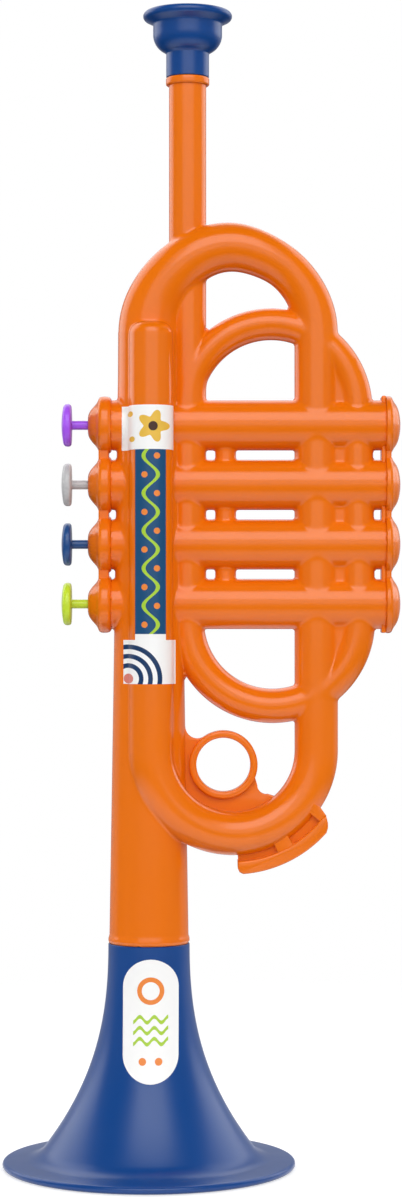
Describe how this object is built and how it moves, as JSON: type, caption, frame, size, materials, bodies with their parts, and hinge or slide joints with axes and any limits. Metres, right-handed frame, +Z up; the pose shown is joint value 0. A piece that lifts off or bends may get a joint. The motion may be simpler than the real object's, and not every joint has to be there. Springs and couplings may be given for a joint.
{
  "type": "toy trumpet",
  "caption": "Toy trumpet with a flared bell, cup mouthpiece, looped tubing, finger ring and sprung press buttons on sideways valve casings.",
  "frame": {"origin": "centre of the overall box, on the plane that the bell's rim stands on", "axes": "+Z up from the bell to the mouthpiece, +X the way the buttons press in, -Y the front, with the labels"},
  "size_m": [0.1293, 0.095, 0.375],
  "materials": {
    "body_orange": "smooth moulded gloss",
    "bell_blue": "smooth moulded gloss",
    "button_purple": "smooth moulded gloss",
    "button_grey": "smooth moulded gloss",
    "button_navy": "smooth moulded gloss",
    "button_lime": "smooth moulded gloss",
    "label_film": "printed adhesive film",
    "inner_plastic": "natural moulded plastic",
    "pad_rubber": "soft matt rubber",
    "spring_steel": "drawn wire",
    "reed_brass": "rolled strip"
  },
  "bodies": {
    "body": {"front_shell": "body_orange", "back_shell": "body_orange", "top_cap_strip": "body_orange", "bottom_cap_strip": "body_orange", "mouthpiece": "bell_blue", "bell": "bell_blue", "tube_label": "label_film", "bell_label": "label_film", "valve_seat_1": "inner_plastic", "valve_seat_2": "inner_plastic", "valve_seat_3": "inner_plastic", "valve_seat_4": "inner_plastic", "return_spring_1": "spring_steel", "return_spring_2": "spring_steel", "return_spring_3": "spring_steel", "return_spring_4": "spring_steel", "reed_block_1": "inner_plastic", "reed_block_2": "inner_plastic", "reed_block_3": "inner_plastic", "reed_block_4": "inner_plastic", "reed_1": "reed_brass", "reed_2": "reed_brass", "reed_3": "reed_brass", "reed_4": "reed_brass"},
    "button_1": {"button_1": "button_purple", "valve_pad_1": "pad_rubber", "pad_carrier_1": "inner_plastic"},
    "button_2": {"button_2": "button_grey", "valve_pad_2": "pad_rubber", "pad_carrier_2": "inner_plastic"},
    "button_3": {"button_3": "button_navy", "valve_pad_3": "pad_rubber", "pad_carrier_3": "inner_plastic"},
    "button_4": {"button_4": "button_lime", "valve_pad_4": "pad_rubber", "pad_carrier_4": "inner_plastic"}
  },
  "joints": [
    {"name": "button_1_press", "type": "slide", "parent": "body", "child": "button_1", "axis": [1, 0, 0], "range_m": [0, 0.005], "stiffness_N_per_m": 150, "springref_m": -0.004, "deforming": ["return_spring_1"]},
    {"name": "button_2_press", "type": "slide", "parent": "body", "child": "button_2", "axis": [1, 0, 0], "range_m": [0, 0.005], "stiffness_N_per_m": 150, "springref_m": -0.004, "deforming": ["return_spring_2"]},
    {"name": "button_3_press", "type": "slide", "parent": "body", "child": "button_3", "axis": [1, 0, 0], "range_m": [0, 0.005], "stiffness_N_per_m": 150, "springref_m": -0.004, "deforming": ["return_spring_3"]},
    {"name": "button_4_press", "type": "slide", "parent": "body", "child": "button_4", "axis": [1, 0, 0], "range_m": [0, 0.005], "stiffness_N_per_m": 150, "springref_m": -0.004, "deforming": ["return_spring_4"]}
  ]
}
